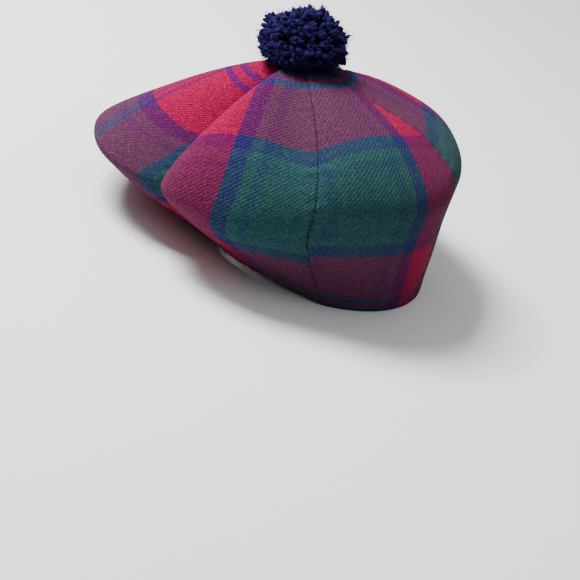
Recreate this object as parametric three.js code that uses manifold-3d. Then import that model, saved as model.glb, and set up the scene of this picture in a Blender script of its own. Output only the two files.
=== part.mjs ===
// A soft wool bonnet of six tartan gores with a yarn pompom, slouched forward over its brow.
// Millimetres, +Z up. It stands on its rim, the front is towards -Y and the wearer's left is +X.
// The origin is on the floor, under the middle of the whole hat.
import * as THREE from 'three';
import { mergeVertices } from 'three/addons/utils/BufferGeometryUtils.js';
import Module from 'manifold-3d';

const wasm = await Module();
wasm.setup();

// Driving dimensions of the crown
const RIM_HALF_WIDTH = 87; // head opening, ear to ear
const RIM_HALF_LENGTH = 92; // head opening, front to back
const SLOUCH = 40; // how far the middle of the brow lies forward of the middle of the rim
const APEX_FORWARD = 52; // how far the point of the crown lies forward of the middle of the rim
const APEX_HEIGHT = 130; // of the point of the crown above the floor
const TIE_HOLE_RADIUS = 6; // where the gores' points leave room for the pompom's tie
const CLOTH = 2; // thickness of the wool cloth
const HEM_CLOTH = 3; // thickness where the edge is turned up at the rim
const HEM_START = 0.8; // share of the way from brow to rim where the turned edge begins
const SEAM_GAP = 0.3; // between two gores along their seam
const SHARPEST_MITRE = 0.6; // least cosine by which a wall is drawn out where two gores meet

// Driving dimensions of the pompom
const POMPOM_RADIUS = 33;
const POMPOM_HALF_HEIGHT = 25;
const POMPOM_RISE = 13; // of its middle above the point of the crown
const POMPOM_CLEARANCE = 0.6; // between its under side and the crown that it sinks on to
const HEAD_SHARE = 0.8; // size of the solid head under the locks, as a share of the pompom
const LOCK_COUNT = 66;
const LOCK_SIDES = 5;
const LOCK_RAGGED = 0.05; // how far a lock's tip stands in or out, as a share of the pompom
const TIE_CLEARANCE = 0.4;
const TIE_DEPTH = 5; // of the tie below the point of the crown

// Looks
const CLOTH_ROUGHNESS = 0.92;
const YARN_COLOUR = '#191d4f';
const YARN_ROUGHNESS = 0.95;

// Fineness of the facets
const ROWS_ABOVE_BROW = 10;
const ROWS_BELOW_BROW = 7;
const COLUMNS = 10;
const HEAD_SIDES = 18;
const HEAD_ROWS = 10;
const SAME_POINT = 1e-4; // corners nearer than this are one

// One row for each seam, from the front round by the wearer's left.
//   rim, brow  angles where the seam crosses the rim and the brow, in degrees from the front
//   reach      from the middle of the brow out to the brow line
//   height     of the brow line above the floor
//   crest      how soon the cloth falls away from the point, as a share of its drop to the brow
//   shoulder   fullness above the brow line, as a share of the same drop
//   tuck       how far the shoulder lies inside the brow line, as a share of the run to the point
//   lift       of the rim off the floor
const SEAMS = [
  { rim: 0, brow: 0, reach: 130, height: 33, crest: 0.32, shoulder: 0.08, tuck: 0.02, lift: 0 },
  { rim: 60, brow: 70, reach: 116, height: 48, crest: 0.34, shoulder: 0.2, tuck: 0.06, lift: 10 },
  { rim: 120, brow: 122, reach: 135, height: 70, crest: 0.02, shoulder: 0.55, tuck: 0, lift: 0 },
  { rim: 180, brow: 180, reach: 128, height: 92, crest: 0, shoulder: 0.75, tuck: 0, lift: 0 },
  { rim: 240, brow: 235, reach: 126, height: 76, crest: 0.05, shoulder: 0.65, tuck: 0, lift: 0 },
  { rim: 300, brow: 292, reach: 118, height: 44, crest: 0.45, shoulder: 0.26, tuck: 0.05, lift: 4 },
];

// One row for each gore, from the seam of the same row to the next: its middle line's measures.
//   start, end  how squarely the gore puffs out of its first and its second seam
const GORES = [
  {
    name: 'gore_left_front', colour: '#5d3346', start: 2, end: 2.4,
    reach: 140, height: 45, crest: 0.22, shoulder: 0.12, tuck: 0.02, lift: 1,
  },
  {
    name: 'gore_left', colour: '#2a4a55', start: 3.6, end: 2.4,
    reach: 140, height: 57, crest: 0.05, shoulder: 0.55, tuck: 0.03, lift: 6,
  },
  {
    name: 'gore_left_back', colour: '#35405a', start: 2.4, end: 2.4,
    reach: 138, height: 82, crest: -0.05, shoulder: 0.75, tuck: 0, lift: 0,
  },
  {
    name: 'gore_right_back', colour: '#5d3346', start: 2.4, end: 2.4,
    reach: 127, height: 88, crest: -0.05, shoulder: 0.85, tuck: 0, lift: 0,
  },
  {
    name: 'gore_right', colour: '#2a4a55', start: 2.4, end: 4,
    reach: 134, height: 56, crest: 0.1, shoulder: 0.55, tuck: 0.03, lift: 2,
  },
  {
    name: 'gore_right_front', colour: '#35405a', start: 2.4, end: 2,
    reach: 134, height: 33, crest: 0.32, shoulder: 0.09, tuck: 0.02, lift: 1,
  },
];
const MEASURES = ['reach', 'height', 'crest', 'shoulder', 'tuck', 'lift'];

// How the two curves of a meridian leave and reach their ends, as shares of its run and height
const CREST_RUN = 0.4;
const BROW_FALL = 0.3;
const RIM_FLARE = 0.3;
const RIM_RISE = 0.3;

// Side view of one lock, in pompom radii: half width at each distance from the pompom's middle
const LOCK_PROFILE = [
  { out: 0.55, half: 0 },
  { out: 0.55, half: 0.15 },
  { out: 0.88, half: 0.19 },
  { out: 0.97, half: 0.12 },
  { out: 1, half: 0 },
];

const GOLDEN_ANGLE = Math.PI * (3 - Math.sqrt(5));
const UP = new THREE.Vector3(0, 0, 1);
const APEX = new THREE.Vector3(0, -APEX_FORWARD, APEX_HEIGHT);
const { lerp, degToRad, smoothstep } = THREE.MathUtils;

// Level unit vector at an angle from the front, turning towards the wearer's left.
function ray(degrees) {
  const turn = degToRad(degrees);
  return new THREE.Vector3(Math.sin(turn), -Math.cos(turn), 0);
}

// Measures of the meridian at w across gore g, from -1 on its first seam to 1 on its second.
function section(g, w) {
  const gore = GORES[g];
  const from = SEAMS[g];
  const next = SEAMS[(g + 1) % SEAMS.length];
  const turn = g + 1 < SEAMS.length ? 0 : 360;
  const share = (w + 1) / 2;
  const puff = 1 - Math.abs(w) ** (w < 0 ? gore.start : gore.end);
  const out = {
    rim: lerp(from.rim, next.rim + turn, share),
    brow: lerp(from.brow, next.brow + turn, share),
  };
  for (const key of MEASURES) {
    out[key] = lerp(lerp(from[key], next[key], share), gore[key], puff);
  }
  return out;
}

// Points down one meridian: over the crown from the point to the brow, then under to the rim.
function meridian(g, w) {
  const m = section(g, w);
  const brow = ray(m.brow).multiplyScalar(m.reach).add(new THREE.Vector3(0, -SLOUCH, m.height));
  const rim = ray(m.rim).multiply(new THREE.Vector3(RIM_HALF_WIDTH, RIM_HALF_LENGTH, 0)).setZ(m.lift);
  const run = brow.clone().sub(APEX).setZ(0);
  const drop = APEX_HEIGHT - m.height;
  const tip = APEX.clone().addScaledVector(run.clone().normalize(), TIE_HOLE_RADIUS);
  const over = new THREE.CubicBezierCurve3(
    tip,
    tip.clone().addScaledVector(run, CREST_RUN).addScaledVector(UP, -m.crest * drop),
    brow.clone().addScaledVector(run, -m.tuck).addScaledVector(UP, m.shoulder * drop),
    brow,
  );
  const hang = brow.clone().sub(rim).setZ(0);
  const under = new THREE.CubicBezierCurve3(
    brow,
    brow.clone().addScaledVector(UP, -BROW_FALL * m.height),
    rim.clone().addScaledVector(hang, RIM_FLARE).addScaledVector(UP, RIM_RISE * m.height),
    rim,
  );
  return [...over.getPoints(ROWS_ABOVE_BROW), ...under.getPoints(ROWS_BELOW_BROW).slice(1)];
}

// Places of the columns across a gore, drawn a little towards its seams.
function columnPlaces() {
  const places = [];
  for (let j = 0; j <= COLUMNS; j += 1) {
    const even = (2 * j) / COLUMNS - 1;
    places.push((even + Math.sin((even * Math.PI) / 2)) / 2);
  }
  return places;
}

// Outer faces of all gores, as grid[gore][column][row].
const LAST_ROW = ROWS_ABOVE_BROW + ROWS_BELOW_BROW;
const OUTER = GORES.map((_, g) => columnPlaces().map((w) => meridian(g, w)));

// Outward normal of a gore's grid at one column and row, by differences to the points beside it.
function normalAt(grid, j, i) {
  const down = grid[j][Math.min(i + 1, LAST_ROW)].clone().sub(grid[j][Math.max(i - 1, 0)]);
  const across = grid[Math.min(j + 1, COLUMNS)][i].clone().sub(grid[Math.max(j - 1, 0)][i]);
  return down.cross(across).normalize();
}

// Way through the wall at one point, scaled for a wall of thickness 1. Along a seam it halves the
// angle between the two gores. At the tie hole it stands upright, and at the rim it lies level.
function throughWall(g, j, i) {
  const own = normalAt(OUTER[g], j, i);
  const way = own.clone();
  if (j === 0) {
    const before = (g + GORES.length - 1) % GORES.length;
    way.add(normalAt(OUTER[before], COLUMNS, i)).normalize();
  }
  if (j === COLUMNS) {
    way.add(normalAt(OUTER[(g + 1) % GORES.length], 0, i)).normalize();
  }
  if (i === 0) {
    way.copy(UP);
  }
  if (i === LAST_ROW) {
    way.setZ(0).normalize();
  }
  return way.divideScalar(Math.max(way.dot(own), SHARPEST_MITRE));
}

// Half the seam gap, along the cloth and away from the seam, on a gore's first and last column.
function seamShift(g, j, i) {
  if (j !== 0 && j !== COLUMNS) {
    return new THREE.Vector3();
  }
  const column = OUTER[g][j];
  const along = column[Math.min(i + 1, LAST_ROW)].clone().sub(column[Math.max(i - 1, 0)]);
  const inward = throughWall(g, j, i).cross(along);
  if (i === 0 || i === LAST_ROW) inward.setZ(0);
  return inward.setLength((j === 0 ? SEAM_GAP : -SEAM_GAP) / 2);
}

// Thickness of the cloth at one row: doubled up towards the rim by the turned edge.
function thicknessAt(i) {
  const belowBrow = (i - ROWS_ABOVE_BROW) / ROWS_BELOW_BROW;
  return lerp(CLOTH, HEM_CLOTH, smoothstep(belowBrow, HEM_START - 1 / ROWS_BELOW_BROW, HEM_START));
}

// One gore as a closed wall: its outer face, its inner face and the four edges between them.
// The edge strips of two gores that meet are split along the same diagonals.
function goreWall(g) {
  const positions = [];
  const triangles = [];
  const columnLength = LAST_ROW + 1;
  const layer = (COLUMNS + 1) * columnLength;
  const inner = [];
  for (let j = 0; j <= COLUMNS; j += 1) {
    for (let i = 0; i <= LAST_ROW; i += 1) {
      const face = OUTER[g][j][i].clone().add(seamShift(g, j, i));
      positions.push(...face.toArray());
      inner.push(...face.addScaledVector(throughWall(g, j, i), -thicknessAt(i)).toArray());
    }
  }
  positions.push(...inner);
  const at = (j, i) => j * columnLength + i;
  for (let j = 0; j < COLUMNS; j += 1) {
    for (let i = 0; i < LAST_ROW; i += 1) {
      const [a, b, c, d] = [at(j, i), at(j, i + 1), at(j + 1, i), at(j + 1, i + 1)];
      triangles.push(a, b, c, c, b, d);
      triangles.push(a + layer, c + layer, b + layer, c + layer, d + layer, b + layer);
    }
  }
  const edge = [];
  for (let i = 0; i < LAST_ROW; i += 1) edge.push(at(0, i));
  for (let j = 0; j < COLUMNS; j += 1) edge.push(at(j, LAST_ROW));
  for (let i = LAST_ROW; i > 0; i -= 1) edge.push(at(COLUMNS, i));
  for (let j = COLUMNS; j > 0; j -= 1) edge.push(at(j, 0));
  edge.forEach((p, k) => {
    const q = edge[(k + 1) % edge.length];
    if (p < q) triangles.push(q, p, p + layer, q, p + layer, q + layer);
    else triangles.push(q, p, q + layer, p, p + layer, q + layer);
  });
  return meshGeometry(new Float32Array(positions), triangles);
}

function meshGeometry(positions, triangles) {
  const geometry = new THREE.BufferGeometry();
  geometry.setAttribute('position', new THREE.BufferAttribute(positions, 3));
  geometry.setIndex([...triangles]);
  geometry.computeVertexNormals();
  return geometry;
}

// A closed geometry as a solid that can be joined. Triangles folded flat at a pole are dropped.
function solid(geometry) {
  const bare = geometry.clone();
  bare.deleteAttribute('normal');
  bare.deleteAttribute('uv');
  const merged = mergeVertices(bare, SAME_POINT);
  const triangles = [];
  const index = merged.index.array;
  for (let k = 0; k < index.length; k += 3) {
    const [a, b, c] = index.slice(k, k + 3);
    if (a !== b && b !== c && c !== a) triangles.push(a, b, c);
  }
  return new wasm.Manifold(new wasm.Mesh({
    numProp: 3,
    vertProperties: new Float32Array(merged.attributes.position.array),
    triVerts: new Uint32Array(triangles),
  }));
}

// Locks of yarn spread evenly over the pompom by the golden angle, each with its own length.
function lock(k) {
  const height = 1 - (2 * k + 1) / LOCK_COUNT;
  const turn = k * GOLDEN_ANGLE;
  const level = Math.sqrt(1 - height * height);
  const way = new THREE.Vector3(level * Math.cos(turn), level * Math.sin(turn), height);
  const length = 1 + LOCK_RAGGED * Math.sin(k * k);
  const profile = LOCK_PROFILE.map(({ out, half }) => new THREE.Vector2(half, out * length));
  const geometry = new THREE.LatheGeometry(profile, LOCK_SIDES);
  geometry.applyQuaternion(new THREE.Quaternion().setFromUnitVectors(THREE.Object3D.DEFAULT_UP, way));
  return geometry.scale(POMPOM_RADIUS, POMPOM_RADIUS, POMPOM_HALF_HEIGHT);
}

// The space inside the crown's outer face down to the brow, closed over the tie hole and below.
function insideCrown() {
  const ring = OUTER.flatMap((grid) => grid.slice(0, COLUMNS));
  const positions = ring.flatMap((column) => column.slice(0, ROWS_ABOVE_BROW + 1)).flatMap((p) => p.toArray());
  const rows = ROWS_ABOVE_BROW + 1;
  const top = ring.length * rows;
  const bottom = top + 1;
  positions.push(APEX.x, APEX.y, APEX.z, 0, -SLOUCH, 0);
  const triangles = [];
  ring.forEach((_, j) => {
    const here = j * rows;
    const next = ((j + 1) % ring.length) * rows;
    triangles.push(top, here, next, bottom, next + rows - 1, here + rows - 1);
    for (let i = 0; i + 1 < rows; i += 1) {
      triangles.push(here + i, here + i + 1, next + i, next + i, here + i + 1, next + i + 1);
    }
  });
  return meshGeometry(new Float32Array(positions), triangles);
}

// The pompom: a head with its locks, hollowed below where it sinks on to the crown, and its tie.
function pompom() {
  const head = new THREE.SphereGeometry(HEAD_SHARE, HEAD_SIDES, HEAD_ROWS);
  head.rotateX(Math.PI / 2);
  head.scale(POMPOM_RADIUS, POMPOM_RADIUS, POMPOM_HALF_HEIGHT);
  let ball = solid(head);
  for (let k = 0; k < LOCK_COUNT; k += 1) {
    ball = ball.add(solid(lock(k)));
  }
  ball = ball.translate(APEX.x, APEX.y, APEX.z + POMPOM_RISE);
  ball = ball.subtract(solid(insideCrown().translate(0, 0, POMPOM_CLEARANCE)));
  const tieLength = POMPOM_RISE + TIE_DEPTH;
  const tieRadius = TIE_HOLE_RADIUS - TIE_CLEARANCE;
  const tie = new THREE.CylinderGeometry(tieRadius, tieRadius, tieLength, HEAD_SIDES);
  tie.rotateX(Math.PI / 2);
  tie.translate(APEX.x, APEX.y, APEX.z + POMPOM_RISE - tieLength / 2);
  const { vertProperties, triVerts } = ball.add(solid(tie)).getMesh();
  return meshGeometry(new Float32Array(vertProperties), triVerts);
}

function piece(name, colour, roughness, geometry) {
  const material = new THREE.MeshStandardMaterial({ color: colour, roughness, metalness: 0 });
  const mesh = new THREE.Mesh(geometry, material);
  mesh.name = name;
  return mesh;
}

const hat = new THREE.Group();
hat.name = 'tam';
GORES.forEach((gore, g) => hat.add(piece(gore.name, gore.colour, CLOTH_ROUGHNESS, goreWall(g))));
hat.add(piece('pompom', YARN_COLOUR, YARN_ROUGHNESS, pompom()));

// The origin goes to the floor, under the middle of the whole hat.
const box = new THREE.Box3().setFromObject(hat);
const middle = box.getCenter(new THREE.Vector3());
hat.position.set(-middle.x, -middle.y, -box.min.z);
hat.updateMatrixWorld(true);

export default hat;
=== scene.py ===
# %% [markdown]
# # A tartan bonnet with a yarn pompom
# The hat is six gores of thick wool cloth, sewn point to point, with a ball of cut yarn on top.
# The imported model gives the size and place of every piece. This lesson loads it as a fixed frame
# and dresses it: each plain solid is replaced by a finer piece that fills the same space.

# %% The frame
import math

import bpy
import numpy as np
from mathutils import Matrix, Vector


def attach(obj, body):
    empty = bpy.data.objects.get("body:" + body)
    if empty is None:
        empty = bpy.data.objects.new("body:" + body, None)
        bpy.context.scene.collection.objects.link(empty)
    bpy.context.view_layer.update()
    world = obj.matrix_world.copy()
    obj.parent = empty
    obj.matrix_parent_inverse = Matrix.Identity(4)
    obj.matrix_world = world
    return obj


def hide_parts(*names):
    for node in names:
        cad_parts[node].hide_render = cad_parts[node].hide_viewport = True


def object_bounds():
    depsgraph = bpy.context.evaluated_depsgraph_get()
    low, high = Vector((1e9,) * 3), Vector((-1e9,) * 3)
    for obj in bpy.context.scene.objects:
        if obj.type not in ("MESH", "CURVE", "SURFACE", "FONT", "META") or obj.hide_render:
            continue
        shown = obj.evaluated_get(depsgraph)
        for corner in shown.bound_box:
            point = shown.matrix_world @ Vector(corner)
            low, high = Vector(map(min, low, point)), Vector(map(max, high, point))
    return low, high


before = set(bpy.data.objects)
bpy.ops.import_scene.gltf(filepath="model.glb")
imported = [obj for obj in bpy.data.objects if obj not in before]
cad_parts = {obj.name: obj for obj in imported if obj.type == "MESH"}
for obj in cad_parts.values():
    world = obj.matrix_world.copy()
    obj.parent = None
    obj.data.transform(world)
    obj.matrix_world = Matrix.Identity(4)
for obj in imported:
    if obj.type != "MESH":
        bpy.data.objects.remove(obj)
cad_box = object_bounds()
MM = 0.001
print("nodes:", ", ".join(sorted(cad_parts)))
print("box in mm:", [[round(x / MM, 1) for x in corner] for corner in cad_box])

# %% [markdown]
# ## The pattern of the crown
# A gore is measured along its two seams and its middle line. A seam or middle line is a meridian:
# one curve runs from the point of the crown out to the brow, and a second one tucks under to the rim.
# The cloth could be draped by a simulation, but a slouched hat keeps the folds that its maker pressed,
# so the same short tables that shape the solids are used again here, at a finer grid.

# %% Measures of the crown, in millimetres
RIM_HALVES = np.array([87.0, 92.0])  # head opening: half its width, half its length
SLOUCH = 40.0  # how far the middle of the brow lies forward of the middle of the rim
APEX = np.array([0.0, -52.0, 130.0])  # point of the crown, from the middle of the rim
TIE_HOLE_RADIUS = 6.0
CREST_RUN = 0.4  # share of the way to the brow that the crown's first handle reaches
BROW_FALL = 0.3  # share of the brow's height that the cloth falls straight below it
RIM_FLARE = 0.3  # shares of the overhang and height that the rim's handle reaches
RIM_RISE = 0.3

# A row for each seam: degrees round the rim and round the brow, the brow's reach and height, then
# the slopes at the crest and the shoulder, the tuck at the shoulder and the rim's lift off the floor.
MEASURES = ("rim", "brow", "reach", "height", "crest", "shoulder", "tuck", "lift")
SEAMS = np.array([
    (0, 0, 130, 33, 0.32, 0.08, 0.02, 0),
    (60, 70, 116, 48, 0.34, 0.2, 0.06, 10),
    (120, 122, 135, 70, 0.02, 0.55, 0, 0),
    (180, 180, 128, 92, 0, 0.75, 0, 0),
    (240, 235, 126, 76, 0.05, 0.65, 0, 0),
    (300, 292, 118, 44, 0.45, 0.26, 0.05, 4),
    (360, 360, 130, 33, 0.32, 0.08, 0.02, 0),
])

# A row for each gore: how sharply it puffs up beside its two seams, and its middle line's measures.
GORE_NAMES = ("left_front", "left", "left_back", "right_back", "right", "right_front")
GORE_PUFF = np.array([(2, 2.4), (3.6, 2.4), (2.4, 2.4), (2.4, 2.4), (2.4, 4), (2.4, 2)])
GORE_MIDDLES = np.array([
    (140, 45, 0.22, 0.12, 0.02, 1),
    (140, 57, 0.05, 0.55, 0.03, 6),
    (138, 82, -0.05, 0.75, 0, 0),
    (127, 88, -0.05, 0.85, 0, 0),
    (134, 56, 0.1, 0.55, 0.03, 2),
    (134, 33, 0.32, 0.09, 0.02, 1),
])


# %% Meridians as whole arrays
def ray(degrees):
    """Level unit vectors at angles from the front, turning towards the wearer's left."""
    turn = np.radians(degrees)
    return np.stack([np.sin(turn), -np.cos(turn), np.zeros_like(turn)], -1)


def bezier(a, b, c, d, t):
    """Cubic curve: the four corners weighted by (1-t)^3, 3t(1-t)^2, 3t^2(1-t) and t^3."""
    s = 1 - t
    return s**3 * a + 3 * t * s**2 * b + 3 * t**2 * s * c + t**3 * d


def section(g, w):
    """Measures of the meridians at w across gore g, from -1 on its first seam to 1 on its second.

    They run straight from seam to seam, and puff towards the middle line's by 1 - |w|^n.
    """
    share = (w[:, None] + 1) / 2
    measures = SEAMS[g] * (1 - share) + SEAMS[g + 1] * share
    puff = 1 - np.abs(w) ** np.where(w < 0, GORE_PUFF[g, 0], GORE_PUFF[g, 1])
    measures[:, 2:] += puff[:, None] * (GORE_MIDDLES[g] - measures[:, 2:])
    return dict(zip(MEASURES, measures.T))


def gore_face(g, w, over, under):
    """Outer face of gore g: a row for each share over the crown, then for each share under it."""
    m = section(g, w)
    up = np.array([0.0, 0.0, 1.0])
    brow = ray(m["brow"]) * m["reach"][:, None] + np.stack(
        [np.zeros_like(w), np.full_like(w, -SLOUCH), m["height"]], -1)
    rim = ray(m["rim"]) * np.append(RIM_HALVES, 0) + up * m["lift"][:, None]
    run = (brow - APEX) * (1, 1, 0)
    drop = (APEX[2] - m["height"])[:, None]
    tip = APEX + TIE_HOLE_RADIUS * run / np.linalg.norm(run, axis=1, keepdims=True)
    crest = tip + CREST_RUN * run - up * m["crest"][:, None] * drop
    shoulder = brow - m["tuck"][:, None] * run + up * m["shoulder"][:, None] * drop
    hang = (brow - rim) * (1, 1, 0)
    height = m["height"][:, None]
    fall = brow - BROW_FALL * height * up
    flare = rim + RIM_FLARE * hang + RIM_RISE * height * up
    top = bezier(tip, crest, shoulder, brow, over[:, None, None])
    low = bezier(brow, fall, flare, rim, under[:, None, None])
    return np.concatenate([top, low])


ROWS_OVER = 76
ROWS_UNDER = 50
COLUMNS = 76
CROWDING = 0.58  # share of the columns' spacing that crowds them towards the seams
even = np.linspace(-1, 1, COLUMNS + 1)
across = (1 - CROWDING) * even + CROWDING * np.sin(even * math.pi / 2)
over = np.linspace(0, 1, ROWS_OVER + 1)
rim_rows = [0.98, 0.99, 0.995, 1.0]
under = np.concatenate([np.linspace(0, 0.97, ROWS_UNDER)[1:], rim_rows])
faces_mm = np.stack([gore_face(g, across, over, under) for g in range(len(GORE_NAMES))])
print("grid of gores, rows, columns:", faces_mm.shape[:3])

# %% [markdown]
# ## Cloth lengths
# A woven check has to follow the cloth and not the room, so every point needs to know how far it lies
# across its gore and how far down. Lengths across are summed from the middle line. Lengths down are
# what is left of each step after its part across is taken off. The gores were cut with a straight
# lower edge, so each meridian's length is scaled to end where the middle line ends.

# %% Lengths across and down each gore
MIDDLE = COLUMNS // 2


def step_lengths(points, axis):
    """Length of the step between neighbours along one axis of a grid of points."""
    return np.linalg.norm(np.diff(points, axis=axis), axis=-1)


def running_sum(steps, axis):
    """Sums of the steps so far, starting from 0."""
    start = np.zeros_like(np.take(steps, [0], axis))
    return np.concatenate([start, np.cumsum(steps, axis)], axis)


from_first = running_sum(step_lengths(faces_mm, 2), 2)
to_second = from_first[:, :, -1:] - from_first
length_across = from_first - from_first[:, :, MIDDLE:MIDDLE + 1]
steps_down = step_lengths(faces_mm, 1)
seam_length = running_sum(steps_down, 1)
straight_down = np.sqrt(np.maximum(steps_down**2 - np.diff(length_across, axis=1) ** 2, 0))
length_down = running_sum(straight_down, 1) + TIE_HOLE_RADIUS
length_down *= length_down[:, -1:, MIDDLE:MIDDLE + 1] / length_down[:, -1:]
for name, wide, long in zip(GORE_NAMES, from_first[:, :, -1].max(1), length_down[:, -1, MIDDLE]):
    print(f"{name}: {wide:.0f} mm wide, {long:.0f} mm long")

# %% [markdown]
# ## Folds, puckers and the sewn edge
# Thick wool never lies as smooth as a drawing. Long soft waves run through it, the stitches draw up
# short puckers beside each seam, and the raw edge rolls inwards into the seam, which leaves the fine
# groove that shows where two gores meet. All three are lengths along the cloth's normal. The two
# gores at a seam read the same wave there, so they stay together.


# %% Relief of the cloth
def unit(vectors):
    """Vectors divided by their lengths."""
    return vectors / np.maximum(np.linalg.norm(vectors, axis=-1, keepdims=True), 1e-9)


WAVELENGTHS = (46, 63, 88)


def soft_waves(points):
    """Sum of three sines of place, each with its own direction and wavelength in millimetres."""
    rng = np.random.default_rng(7)
    total = 0
    for wavelength in WAVELENGTHS:
        way = unit(rng.normal(size=3))
        phase = rng.uniform(0, 2 * math.pi)
        total = total + np.sin(2 * math.pi * (points @ way) / wavelength + phase)
    return total / len(WAVELENGTHS)


SHORT_PUCKER = 8.7
LONG_PUCKER = 13.1


def puckers(along, seam):
    """Short waves down one seam: two sines of the length along it, with a phase for each seam."""
    first = np.sin(2 * math.pi * along / SHORT_PUCKER + 2.1 * seam)
    second = np.sin(2 * math.pi * along / LONG_PUCKER + 0.7 * seam)
    return 0.6 * first + 0.4 * second


def seam_roll(from_seam, radius, depth):
    """How far a rolled edge has sunk: depth times one minus a quarter circle of the given radius."""
    inside = np.clip(1 - from_seam / radius, 0, 1)
    return depth * (1 - np.sqrt(1 - inside**2))


down = np.gradient(faces_mm, axis=1)
sideways = np.gradient(faces_mm, axis=2)
normals = unit(np.cross(down, sideways))
seam_normals = unit(normals[:, :, 0] + np.roll(normals[:, :, -1], 1, axis=0))
WAVE_HEIGHT = 1.1
PUCKER_HEIGHT = 0.55
PUCKER_REACH = 7.0
ROLL_RADIUS = 2.0
ROLL_DEPTH = 0.9
STILL_AT_POINT = 25.0  # lengths from the point and from the rim where the waves die out
STILL_AT_RIM = 18.0
at_first = np.exp(-((from_first / PUCKER_REACH) ** 2))
at_second = np.exp(-((to_second / PUCKER_REACH) ** 2))
gore_numbers = np.arange(len(GORE_NAMES))[:, None, None]
first_wave = puckers(seam_length[:, :, :1], gore_numbers)
second_wave = puckers(seam_length[:, :, -1:], (gore_numbers + 1) % len(GORE_NAMES))
to_rim = length_down[:, -1:] - length_down
still_edges = np.clip(length_down / STILL_AT_POINT, 0, 1) * np.clip(to_rim / STILL_AT_RIM, 0, 1)
relief = WAVE_HEIGHT * soft_waves(faces_mm)
relief += PUCKER_HEIGHT * (at_first * first_wave + at_second * second_wave)
relief *= still_edges
relief -= seam_roll(from_first, ROLL_RADIUS, ROLL_DEPTH) + seam_roll(to_second, ROLL_RADIUS, ROLL_DEPTH)
print(f"relief from {relief.min():.1f} to {relief.max():.1f} mm")

# %% [markdown]
# ## The wall of cloth
# Each gore is a closed wall: an outer face, an inner face, and edges that join them. At the seams the
# way through the wall halves the angle between the two gores, so neither cuts into the other. Inside,
# the seam allowances are pressed open, which thickens a strip beside each seam, and the lower edge is
# turned up, which thickens a strip at the rim.

# %% Through the wall
CLOTH = 2.0
HEM_EXTRA = 1.0
HEM_HEIGHT = 20.0
ALLOWANCE_WIDTH = 8.0
ALLOWANCE_EXTRA = 0.7
ALLOWANCE_START = 60.0  # length down a gore where its allowances reach their full thickness
STEP_WIDTH = 1.2  # width of the step at the edge of an allowance
HEM_STEP = 1.5
SEAM_GAP = 0.12
SEAM_THINNING = 0.6
BESIDE_SEAM = 3.0
BESIDE_RIM = 6.0
RIM_ROUND = 1.4
RIM_ROUND_SHARE = 0.9


def smooth_step(x):
    """0 below 0, 1 above 1, and 3x^2 - 2x^3 between."""
    x = np.clip(x, 0, 1)
    return x * x * (3 - 2 * x)


def nearly_one(distance, reach):
    """1 at distance 0, falling smoothly to 0 at the reach."""
    return smooth_step(1 - distance / reach)[..., None]


through = normals * 1.0
through += nearly_one(from_first, BESIDE_SEAM) * (seam_normals[:, :, None] - through)
next_normals = np.roll(seam_normals, -1, axis=0)
through += nearly_one(to_second, BESIDE_SEAM) * (next_normals[:, :, None] - through)
level = through * (1, 1, 0)
through = unit(through + nearly_one(to_rim, BESIDE_RIM) * (unit(level) - through))
outer = faces_mm + normals * relief[..., None]
seam_shift = unit(sideways) * (SEAM_GAP / 2)
outer += seam_shift * (nearly_one(from_first, 1.0) - nearly_one(to_second, 1.0)) * (1, 1, 0.2)
from_seam = np.minimum(from_first, to_second)
near_seam = smooth_step((ALLOWANCE_WIDTH - from_seam) / STEP_WIDTH)
thickness = CLOTH + HEM_EXTRA * smooth_step((HEM_HEIGHT - to_rim) / HEM_STEP)
thickness = thickness + ALLOWANCE_EXTRA * near_seam * np.clip(length_down / ALLOWANCE_START, 0, 1)
thickness = thickness - seam_roll(from_first, ROLL_RADIUS, SEAM_THINNING)
thickness = thickness - seam_roll(to_second, ROLL_RADIUS, SEAM_THINNING)
rim_round = RIM_ROUND_SHARE * seam_roll(to_rim, RIM_ROUND, RIM_ROUND)
inner = outer - through * (thickness - rim_round)[..., None]
outer = outer - through * rim_round[..., None]
lowest = min(outer[..., 2].min(), inner[..., 2].min())
print(f"lowest point of the cloth {lowest:.2f} mm, thickest {thickness.max():.1f} mm")

# %% [markdown]
# ## From arrays to meshes
# A mesh is filled with foreach_set: the corners, then four corner numbers for every face. The
# hat stands with the middle of its whole box over the origin, and its tables are measured from the
# middle of the rim. So the rim's middle is found by laying the middle of the modelled box over the
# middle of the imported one.

# %% Mesh from a grid
hat_box = np.array([faces_mm.min((0, 1, 2)), faces_mm.max((0, 1, 2))])
shift = np.append((np.array(cad_box).mean(0) / MM - hat_box.mean(0))[:2], 0)


def quad_mesh(name, points, quads):
    """A smooth mesh of four-sided faces, from points in millimetres and their numbers."""
    mesh = bpy.data.meshes.new(name)
    mesh.vertices.add(len(points))
    mesh.vertices.foreach_set("co", ((points + shift) * MM).astype(np.float32).ravel())
    mesh.loops.add(quads.size)
    mesh.loops.foreach_set("vertex_index", quads.astype(np.int32).ravel())
    mesh.polygons.add(len(quads))
    mesh.polygons.foreach_set("loop_start", np.arange(0, quads.size, 4, dtype=np.int32))
    mesh.update(calc_edges=True)
    mesh.shade_smooth()
    return mesh


def add_piece(mesh, node, material):
    """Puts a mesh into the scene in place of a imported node, with its finish."""
    piece = bpy.data.objects.new(mesh.name, mesh)
    bpy.context.scene.collection.objects.link(piece)
    mesh.materials.append(material)
    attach(piece, "root")
    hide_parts(node)
    return piece


def keep_vectors(mesh, name, vectors):
    """Keeps a vector on every corner of a mesh, for its finish to read by name."""
    attribute = mesh.attributes.new(name, "FLOAT_VECTOR", "POINT")
    attribute.data.foreach_set("vector", vectors.astype(np.float32).ravel())


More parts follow.
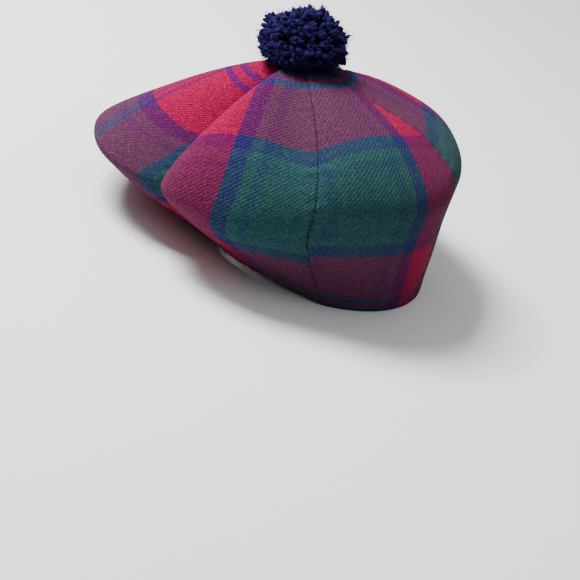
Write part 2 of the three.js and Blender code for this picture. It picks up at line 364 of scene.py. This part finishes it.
def wall_quads(rows, columns):
    """Corner numbers of a closed wall: two grids of rows by columns, and a strip round their edge."""
    numbers = np.arange(rows * columns).reshape(rows, columns)
    corners = [numbers[:-1, :-1], numbers[1:, :-1], numbers[1:, 1:], numbers[:-1, 1:]]
    front = np.stack(corners, -1).reshape(-1, 4)
    back = front[:, ::-1] + rows * columns
    edge = np.concatenate([numbers[:-1, 0], numbers[-1, :-1], numbers[:0:-1, -1], numbers[0, :0:-1]])
    ahead = np.roll(edge, -1)
    strip = np.stack([ahead, edge, edge + rows * columns, ahead + rows * columns], -1)
    return np.concatenate([front, back, strip])


print("rim's middle lies at", np.round(shift, 2), "mm")

# %% [markdown]
# ## Writing materials as sums
# A shader is a graph of nodes. A small class wraps one output of a node, so that ordinary sums in
# Python add the Math nodes that work them out on the surface. Every other kind of node comes from one
# method, which takes the node's type, its settings and the values or links of its inputs.


# %% Shader helpers
class Value:
    """One output of a node. Sums with it add Math nodes."""

    def __init__(self, shader, socket):
        self.shader = shader
        self.socket = socket

    def math(self, operation, *others):
        """One Math node of this value and the others."""
        values = dict(enumerate((self, *others)))
        return self.shader.node("ShaderNodeMath", {"operation": operation}, values)

    def __add__(self, other):
        return self.math("ADD", other)

    def __sub__(self, other):
        return self.math("SUBTRACT", other)

    def __mul__(self, other):
        return self.math("MULTIPLY", other)

    def __truediv__(self, other):
        return self.math("DIVIDE", other)

    def __rsub__(self, other):
        return self.shader.node("ShaderNodeMath", {"operation": "SUBTRACT"}, {0: other, 1: self})

    __radd__ = __add__
    __rmul__ = __mul__

    def between(self, low, high):
        """0 at the low value, 1 at the high one, smooth between them."""
        settings = {"interpolation_type": "SMOOTHSTEP"}
        return self.shader.node("ShaderNodeMapRange", settings, {0: self, 1: low, 2: high})


class Shader:
    """A material's node tree, with a Principled shader already joined to its output."""

    def __init__(self, name, **constants):
        self.material = bpy.data.materials.new(name)
        self.material.use_nodes = True
        self.tree = self.material.node_tree
        self.surface = self.tree.nodes["Principled BSDF"]
        for socket, value in constants.items():
            self.surface.inputs[socket.replace("_", " ").replace("Ior", "IOR")].default_value = value

    def node(self, kind, settings, inputs, output=0):
        """Adds a node: its settings are set first, then each input gets a value or a link."""
        made = self.tree.nodes.new(kind)
        for key, value in settings.items():
            if key == "stops":
                self.fill_ramp(made.color_ramp, value)
            else:
                setattr(made, key, value)
        for key, value in inputs.items():
            if isinstance(value, Value):
                self.tree.links.new(value.socket, made.inputs[key])
            else:
                made.inputs[key].default_value = value
        return Value(self, made.outputs[output])

    def fill_ramp(self, ramp, stops):
        """Gives a colour ramp its stops, with no blending between them."""
        ramp.interpolation = "CONSTANT"
        while len(ramp.elements) < len(stops):
            ramp.elements.new(1.0)
        for element, (position, colour) in zip(ramp.elements, stops):
            element.position = position
            element.color = colour

    def mix(self, share, first, second):
        """A colour between two, by a share from 0 to 1."""
        settings = {"data_type": "RGBA"}
        return self.node("ShaderNodeMix", settings, {0: share, 6: first, 7: second}, output=2)

    def scaled(self, colour, factor):
        """A colour made lighter or darker by a factor."""
        return self.node("ShaderNodeVectorMath", {"operation": "SCALE"}, {0: colour, "Scale": factor})

    def noise(self, place, scale, detail=2.0, roughness=0.6):
        """Cloudy noise about 0.5, with so many lumps for each unit of the place."""
        inputs = {"Vector": place, "Scale": scale, "Detail": detail, "Roughness": roughness}
        return self.node("ShaderNodeTexNoise", {}, inputs)

    def finish(self, **links):
        """Links values to the shader's sockets and gives the material back."""
        for socket, value in links.items():
            self.tree.links.new(value.socket, self.surface.inputs[socket.replace("_", " ")])
        return self.material


def from_screen(red, green, blue):
    """A colour picked on a screen, from 0 to 255, as the linear light that a shader works with."""
    value = np.array([red, green, blue]) / 255
    linear = np.where(value <= 0.04045, value / 12.92, ((value + 0.055) / 1.055) ** 2.4)
    return (*map(float, linear), 1.0)


def as_seen(red, green, blue):
    """A colour picked on a screen, from 0 to 255, kept as the eye sees it and not yet made linear."""
    return (red / 255, green / 255, blue / 255, 1.0)


print("shader helpers ready")

# %% [markdown]
# ## The tartan
# A tartan is one list of stripe widths, the sett, used for the threads that run down the cloth and for
# those that run across it, turning back at each end of the list. Where two stripes cross, a twill weave
# shows both colours in fine slanting lines. So the finish reads the cloth lengths kept on each corner: a
# ping-pong of the first two picks two thread colours from the sett, and a wave of the third, which runs
# aslant, mixes them. Fibres of other shades are spun into wool, so noise and small flecks break up each
# colour.

# %% Sett and cloth lengths
CRIMSON = as_seen(124, 0, 54)
NAVY = as_seen(32, 32, 74)
GREEN = as_seen(36, 64, 66)
INNER_NAVY = as_seen(32, 55, 70)
STRIPE = as_seen(46, 28, 90)
HALF_SETT = 109.0
sett = [(0, CRIMSON), (2.5, STRIPE), (7, CRIMSON), (59, NAVY),
        (71, GREEN), (79, INNER_NAVY), (86, GREEN)]

# One row for each gore, in millimetres.
#   stripes  place of the pair of narrow stripes, across from the middle line
#   tilt     how far the grain leans from the middle line towards the point, for each millimetre
#   start, rate, growth  length along the sett, as a + b v + c v^2 of the length v down the gore
#   lean     how far the checks rise towards the back, for each millimetre across
CUT = np.array([
    (8, 0.2, -34.2, 0.76, 0.0009, 0),
    (-63.5, 0.125, -17.9, 0.557, 0.00167, 0.13),
    (78, -0.08, -23.2, 0.76, 0.0009, 0),
    (64, -0.08, -23.2, 0.76, 0.0009, 0),
    (66, -0.125, -17.9, 0.557, 0.00167, -0.13),
    (-8, -0.2, -34.2, 0.76, 0.0009, 0),
])
stripes, tilt, start, rate, growth, lean = CUT.T[:, :, None, None]
FRONT_LEAN = 1.9  # how much more the checks lean in front of a gore's middle line
TURNED = [0, 5]  # gores cut from cloth that was turned, with their weft running down
TILT_END = 150.0  # length down a gore where the grain meets the middle line's way
SEAM_DIP = 7.0  # how far the checks drop towards a seam, above the brow
DIP_REACH = 26.0
DIP_START, DIP_RISE = 10.0, 60.0  # lengths down a gore where the drop starts, and over which it grows
DIP_END, DIP_FADE = 190.0, 80.0  # where it has ended, and over which it fades
beside = np.exp(-((from_first / DIP_REACH) ** 2)) + np.exp(-((to_second / DIP_REACH) ** 2))
above_brow = smooth_step((DIP_END - length_down) / DIP_FADE)
dip = SEAM_DIP * beside * smooth_step((length_down - DIP_START) / DIP_RISE) * above_brow
cloth_across = length_across - stripes + tilt * np.maximum(TILT_END - length_down, 0)
cloth_down = start + rate * length_down + growth * length_down**2 - dip
rise = lean * length_across
cloth_down += np.where(rise < 0, FRONT_LEAN * rise, rise * above_brow)
cloth_places = np.stack([cloth_across, cloth_down, cloth_across + length_down], -1)
cloth_places[TURNED] = cloth_places[TURNED][..., [1, 0, 2]]
shortest, longest = cloth_places.min((0, 1, 2)), cloth_places.max((0, 1, 2))
print("cloth lengths run from", shortest.round(), "to", longest.round())


# %% Tartan wool
WALE = 3.5  # width of one slanting line of the twill
WANDER = 5.0  # how far a stripe's edge wanders from thread to thread
WEFT_LEAST, WEFT_RANGE = 0.19, 0.4  # share of the weft that shows in a hollow, and how much more on a line
FLECK_SHARE = 0.3


def tartan_wool():
    """Warp and weft colours by ping-pong of the cloth lengths, mixed in a twill, heathered and napped."""
    shader = Shader("tartan_wool", Roughness=0.95, Sheen_Weight=0.02, Sheen_Roughness=0.4,
                    Specular_Ior_Level=0.08)
    cloth = shader.node("ShaderNodeAttribute", {"attribute_name": "cloth"}, {}, output="Vector")
    warp_mm, weft_mm, slant_mm = (
        shader.node("ShaderNodeSeparateXYZ", {}, {0: cloth}, output=k) for k in range(3))
    wander = (shader.noise(cloth, 0.9, detail=3.0) - 0.5) * WANDER
    stops = [(width / HALF_SETT, colour) for width, colour in sett]

    def thread(length):
        """Colour of the thread at a length along the sett, which turns back at both ends."""
        share = (length + wander).math("PINGPONG", HALF_SETT) / HALF_SETT
        return shader.node("ShaderNodeValToRGB", {"stops": stops}, {0: share})

    slant = slant_mm * (2 * math.pi / WALE) + wander * 0.35
    wale = slant.math("SINE") * 0.5 + 0.5
    grain = shader.noise(cloth, 1.1, detail=3.0)
    weft_share = (wale + (grain - 0.5) * 2.4).between(0.0, 1.0) * WEFT_RANGE + WEFT_LEAST
    woven = shader.mix(weft_share, thread(warp_mm), thread(weft_mm))
    colour = shader.node("ShaderNodeGamma", {}, {"Color": woven, "Gamma": 2.2})
    heather = shader.noise(cloth, 0.55, detail=4.0, roughness=0.75)
    light = (heather - 0.5) * 3.0 + (grain - 0.5) * 2.6 + wale * 0.2 + 0.9
    colour = shader.scaled(colour, light.math("MAXIMUM", 0.3))
    fleck = shader.noise(cloth, 0.9, detail=1.0).between(0.68, 0.76)
    colour = shader.mix(fleck * FLECK_SHARE, colour, from_screen(140, 150, 165))
    height = wale * 0.55 + grain * 0.6 + heather * 0.5
    bump = {"Strength": 0.55, "Distance": 0.0009, "Height": height}
    normal = shader.node("ShaderNodeBump", {}, bump)
    return shader.finish(Base_Color=colour, Normal=normal)


tartan = tartan_wool()
print("tartan of", len(sett), "stripes, repeating every", 2 * HALF_SETT, "mm")

# %% Six gores of cloth
rows, columns = faces_mm.shape[1:3]
quads = wall_quads(rows, columns)
for g, name in enumerate(GORE_NAMES):
    wall = np.concatenate([outer[g].reshape(-1, 3), inner[g].reshape(-1, 3)])
    mesh = quad_mesh(f"cloth_{name}", wall, quads)
    keep_vectors(mesh, "cloth", np.tile(cloth_places[g].reshape(-1, 3), (2, 1)))
    piece = add_piece(mesh, f"gore_{name}", tartan)
    wide = float(from_first[g, :, -1].max()) * MM
    long = float(length_down[g, -1, MIDDLE]) * MM

# %% [markdown]
# ## The pompom
# The pompom is a bundle of yarn tied at its middle and cut, so each end springs out on its own and the
# ends bunch into tufts. A ball with a rough finish would keep a smooth outline, so every end is modelled
# as a short tube. The ends that would go down into the hat lie on the crown instead.

# %% Yarn ends
YARN_COUNT = 2300
YARN_SIDES = 6
YARN_STATIONS = 6
YARN_RADIUS = 1.3
POMPOM_RADIUS = 30.5
POMPOM_DOME = 27.0
POMPOM_UNDER = 19.0
POMPOM_RISE = 10.0
POMPOM_LEAN = math.radians(12)  # towards the front
TUFTS = 150
TUFT_PULL = 0.45  # how far the tip of an end leans towards the middle of its tuft, as a share
STRAY_SHARE = 0.012  # share of the ends that were missed when the pompom was trimmed
rng = np.random.default_rng(11)
pompom_middle = APEX + (0, 0, POMPOM_RISE)


def even_directions(count):
    """Unit vectors spread evenly over a ball: equal steps of height, turned by the golden angle."""
    k = np.arange(count)
    height = 1 - (2 * k + 1) / count
    turn = k * math.pi * (3 - math.sqrt(5))
    level = np.sqrt(1 - height**2)
    return np.stack([level * np.cos(turn), level * np.sin(turn), height], -1)


ways = unit(even_directions(YARN_COUNT) + rng.normal(scale=0.05, size=(YARN_COUNT, 3)))
tuft_ways = unit(even_directions(TUFTS) + rng.normal(scale=0.1, size=(TUFTS, 3)))
own_tuft = np.argmax(ways @ tuft_ways.T, axis=1)
tuft_length = rng.normal(1.0, 0.035, TUFTS)
to_tuft = tuft_ways[own_tuft] - ways
tip_ways = unit(ways + TUFT_PULL * to_tuft + rng.normal(scale=0.05, size=ways.shape))
lengths = POMPOM_RADIUS * tuft_length[own_tuft] * rng.normal(1.0, 0.04, YARN_COUNT)
missed = rng.uniform(size=YARN_COUNT) < STRAY_SHARE
lengths *= np.where(missed, rng.uniform(1.06, 1.16, YARN_COUNT), 1.0)
UNDER_TRIM = 0.22  # how much shorter the ends are cut underneath, as a share
STRAIGHT_DOWN = 0.9  # how steeply an end points down where it gets the whole trim
lengths *= 1 - UNDER_TRIM * smooth_step(-tip_ways[:, 2] / STRAIGHT_DOWN)

# %% Paths of the yarn, lying on the crown below
crown_top = faces_mm[:, :ROWS_OVER // 2:2, ::3].reshape(-1, 3)


def crown_height(points):
    """Height of the crown's outer face at the corner of its grid that lies nearest in plan."""
    apart = np.linalg.norm(points[:, None, :2] - crown_top[None, :, :2], axis=-1)
    return crown_top[apart.argmin(1), 2]


stations = np.array([0.3, 0.5, 0.68, 0.84, 0.95, 1.0])
bend = rng.normal(scale=0.12, size=ways.shape)
way_at = unit(ways[None] + stations[:, None, None] ** 2 * (tip_ways - ways)[None]
              + np.sin(stations * math.pi)[:, None, None] * bend[None])
tall = np.where(way_at[..., 2:] > 0, POMPOM_DOME, POMPOM_UNDER) / POMPOM_RADIUS
squash = np.concatenate([np.ones_like(way_at[..., :2]), tall], -1)
reach = squash * way_at * (stations[:, None] * lengths[None])[..., None]
forward = np.array([[1, 0, 0], [0, math.cos(POMPOM_LEAN), math.sin(POMPOM_LEAN)],
                    [0, -math.sin(POMPOM_LEAN), math.cos(POMPOM_LEAN)]])
paths = pompom_middle + reach @ forward
LIE = 1.5  # how far above the cloth the lowest ends lie
for k in range(YARN_STATIONS):
    paths[k, :, 2] = np.maximum(paths[k, :, 2], crown_height(paths[k]) + LIE)
print("yarn ends:", YARN_COUNT, "longest", lengths.max().round(1), "mm")


# %% Tubes along the paths
def tubes(paths, radii, sides):
    """Rings of points round each path: two vectors square to it, weighted by cosine and sine."""
    along = unit(np.gradient(paths, axis=0))
    helper = np.where(np.abs(along[..., 2:]) < 0.9, np.array([0, 0, 1.0]), np.array([1.0, 0, 0]))
    side = unit(np.cross(along, helper))
    other = np.cross(along, side)
    turn = np.arange(sides) * 2 * math.pi / sides
    ring = side[..., None, :] * np.cos(turn)[:, None] + other[..., None, :] * np.sin(turn)[:, None]
    return paths[..., None, :] + ring * radii[..., None, None]


def tube_quads(stations, count, sides):
    """Corner numbers of the tubes' sides, and of two four-sided faces that close each end."""
    numbers = np.arange(stations * count * sides).reshape(stations, count, sides)
    here, ahead = numbers, np.roll(numbers, -1, axis=2)
    side = np.stack([here[:-1], ahead[:-1], ahead[1:], here[1:]], -1).reshape(-1, 4)
    halves = [(0, k, k + 1, k + 2) for k in range(1, sides - 2, 2)]
    near = [numbers[0][:, half[::-1]] for half in halves]
    far = [numbers[-1][:, half] for half in halves]
    return np.concatenate([side, *near, *far])


swell = np.array([0.55, 0.8, 0.95, 1.05, 1.1, 0.75])
radii = YARN_RADIUS * swell[:, None] * rng.normal(1.0, 0.2, YARN_COUNT).clip(0.6, 1.5)[None]
rings = tubes(paths, radii, YARN_SIDES)
yarn_faces = tube_quads(YARN_STATIONS, YARN_COUNT, YARN_SIDES)
yarn_mesh = quad_mesh("yarn_pompom", rings.reshape(-1, 3), yarn_faces)
# painted shade: how far out along its end each ring lies, which the finish turns into darker yarn towards
# the root
shade = np.broadcast_to(stations[:, None, None], rings.shape[:3])
own_shade = np.broadcast_to(rng.uniform(size=YARN_COUNT)[None, :, None], rings.shape[:3])
keep_vectors(yarn_mesh, "tone", np.stack([shade, own_shade, np.zeros_like(shade)], -1))
print("yarn corners:", len(yarn_mesh.vertices))


# %% Blue yarn
def blue_yarn():
    """Navy to royal blue by strand, with painted shade that darkens each end towards its root, and fine
    fibres along the yarn.
    """
    shader = Shader("blue_yarn", Roughness=0.95, Sheen_Weight=0.03, Sheen_Roughness=0.4,
                    Specular_Ior_Level=0.06)
    tone = shader.node("ShaderNodeAttribute", {"attribute_name": "tone"}, {}, output="Vector")
    out, own = (shader.node("ShaderNodeSeparateXYZ", {}, {0: tone}, output=k) for k in range(2))
    place = shader.node("ShaderNodeTexCoord", {}, {}, output="Object")
    fibre = shader.noise(place, 900.0, detail=3.0)
    colour = shader.mix(own.between(0.1, 1.0), from_screen(18, 12, 46), from_screen(34, 26, 84))
    # painted shade: each end darkens towards its root, deep in the pompom where shade falls; only the blue
    # chosen by strand is the yarn's own colour
    light = out.between(0.45, 1.0) * 0.7 + 0.3 + (fibre - 0.5) * 0.8
    colour = shader.scaled(colour, light.math("MAXIMUM", 0.1))
    normal = shader.node("ShaderNodeBump", {}, {"Strength": 0.6, "Distance": 0.0006, "Height": fibre})
    return shader.finish(Base_Color=colour, Normal=normal)


yarn_finish = blue_yarn()
add_piece(yarn_mesh, "pompom", yarn_finish)
print("pompom faces:", len(yarn_mesh.polygons))

# %% [markdown]
# Cut wool frays. Thin loose fibres stand out of the tufts and soften the pompom's outline, so a thin
# fibre grows from the tip of most ends, bent to one side. They are tubes too, with fewer faces.

# %% Loose fibres
FIBRE_COUNT = 4200
FIBRE_RADIUS = 0.16
FIBRE_REACH = 4.2
FIBRE_SIDES = 4
FIBRE_STATIONS = 4
roots = rng.integers(0, YARN_COUNT, FIBRE_COUNT)
yarn_way = unit(paths[-1, roots] - paths[-2, roots])
stray = unit(yarn_way + rng.normal(scale=0.55, size=(FIBRE_COUNT, 3)))
sag = rng.normal(scale=0.9, size=(FIBRE_COUNT, 3))
share = np.linspace(0, 1, FIBRE_STATIONS)[:, None, None]
fibre_length = FIBRE_REACH * rng.uniform(0.35, 1.0, FIBRE_COUNT)[:, None]
fibres = paths[-1, roots] - stray + share * stray * (fibre_length + 1) + share**2 * sag
fibre_radii = FIBRE_RADIUS * (1.1 - 0.7 * share[..., 0]) * np.ones(FIBRE_COUNT)
fibre_rings = tubes(fibres, fibre_radii, FIBRE_SIDES)
fibre_faces = tube_quads(FIBRE_STATIONS, FIBRE_COUNT, FIBRE_SIDES)
fibre_mesh = quad_mesh("yarn_fuzz", fibre_rings.reshape(-1, 3), fibre_faces)
# the loose fibres take the tips' full brightness, with no painted shade, and a middle blue of their own
FIBRE_SHADE_AND_TONE = (1.0, 0.7, 0.0)
keep_vectors(fibre_mesh, "tone", np.ones(fibre_rings.shape) * FIBRE_SHADE_AND_TONE)
add_piece(fibre_mesh, "pompom", yarn_finish)
print("loose fibres:", FIBRE_COUNT)

# %% [markdown]
# ## Floor, light and camera
# The hat stands on a plain pale floor. A soft panel lights it from the front and above, and a wide pale
# ceiling fills the shadows. The camera looks at the wearer's left side from a little above, and leans
# over, because the hat is worn tipped forward and the lean keeps it tipped in the picture.


# %% Floor
def floor_paint():
    """Matt off-white paint, a little mottled."""
    shader = Shader("floor_paint", Roughness=0.8, Specular_Ior_Level=0.2)
    place = shader.node("ShaderNodeTexCoord", {}, {}, output="Object")
    mottle = shader.noise(place, 6.0)
    colour = shader.mix(mottle, from_screen(226, 226, 226), from_screen(230, 230, 229))
    return shader.finish(Base_Color=colour)


FLOOR_HALF = 6.0
corners = np.array([(-1, -1, 0), (1, -1, 0), (1, 1, 0), (-1, 1, 0)]) * FLOOR_HALF
floor_mesh = bpy.data.meshes.new("floor")
floor_mesh.from_pydata(corners.tolist(), [], [(0, 1, 2, 3)])
floor_mesh.materials.append(floor_paint())
floor = bpy.data.objects.new("floor", floor_mesh)
bpy.context.scene.collection.objects.link(floor)
print("floor of", 2 * FLOOR_HALF, "metres each way")

# %% Light
world = bpy.data.worlds.new("studio")
world.use_nodes = True
world.node_tree.nodes["Background"].inputs["Color"].default_value = (1.0, 1.0, 1.0, 1.0)
world.node_tree.nodes["Background"].inputs["Strength"].default_value = 0.08
bpy.context.scene.world = world


def soft_light(name, place, target, size, power):
    """A square area light at a place, turned to face a target."""
    lamp = bpy.data.lights.new(name, "AREA")
    lamp.shape = "SQUARE"
    lamp.size = size
    lamp.energy = power
    light = bpy.data.objects.new(name, lamp)
    light.location = place
    light.rotation_mode = "QUATERNION"
    light.rotation_quaternion = (Vector(target) - Vector(place)).to_track_quat("-Z", "Y")
    bpy.context.scene.collection.objects.link(light)


soft_light("key_panel", (0.1, -0.85, 1.3), (0, 0, 0.08), 0.6, 70)
soft_light("ceiling", (0, 0, 4.0), (0, 0, 0), 12.0, 360)
print("lights:", len(bpy.data.lights))

# %% Camera
AZIMUTH, ELEVATION, LEAN = (math.radians(x) for x in (106, 27, 20))
DISTANCE = 1.2
LENS = 99.31
right = Vector((math.cos(AZIMUTH), math.sin(AZIMUTH), 0))
back = Vector((math.sin(AZIMUTH) * math.cos(ELEVATION), -math.cos(AZIMUTH) * math.cos(ELEVATION),
               math.sin(ELEVATION)))
upward = back.cross(right)
rim_middle = Vector(shift) * MM
AIM_BELOW, AIM_ASIDE = 0.0358, 0.0003
aim = rim_middle - AIM_BELOW * upward + AIM_ASIDE * right
lens = bpy.data.cameras.new("camera")
lens.lens = LENS
camera = bpy.data.objects.new("camera", lens)
leaning_right = math.cos(LEAN) * right + math.sin(LEAN) * upward
leaning_up = math.cos(LEAN) * upward - math.sin(LEAN) * right
camera.matrix_world = Matrix.Translation(aim + DISTANCE * back) @ Matrix(
    (leaning_right, leaning_up, back)).transposed().to_4x4()
bpy.context.scene.collection.objects.link(camera)
bpy.context.scene.camera = camera
print("camera at", [round(x, 3) for x in camera.location])
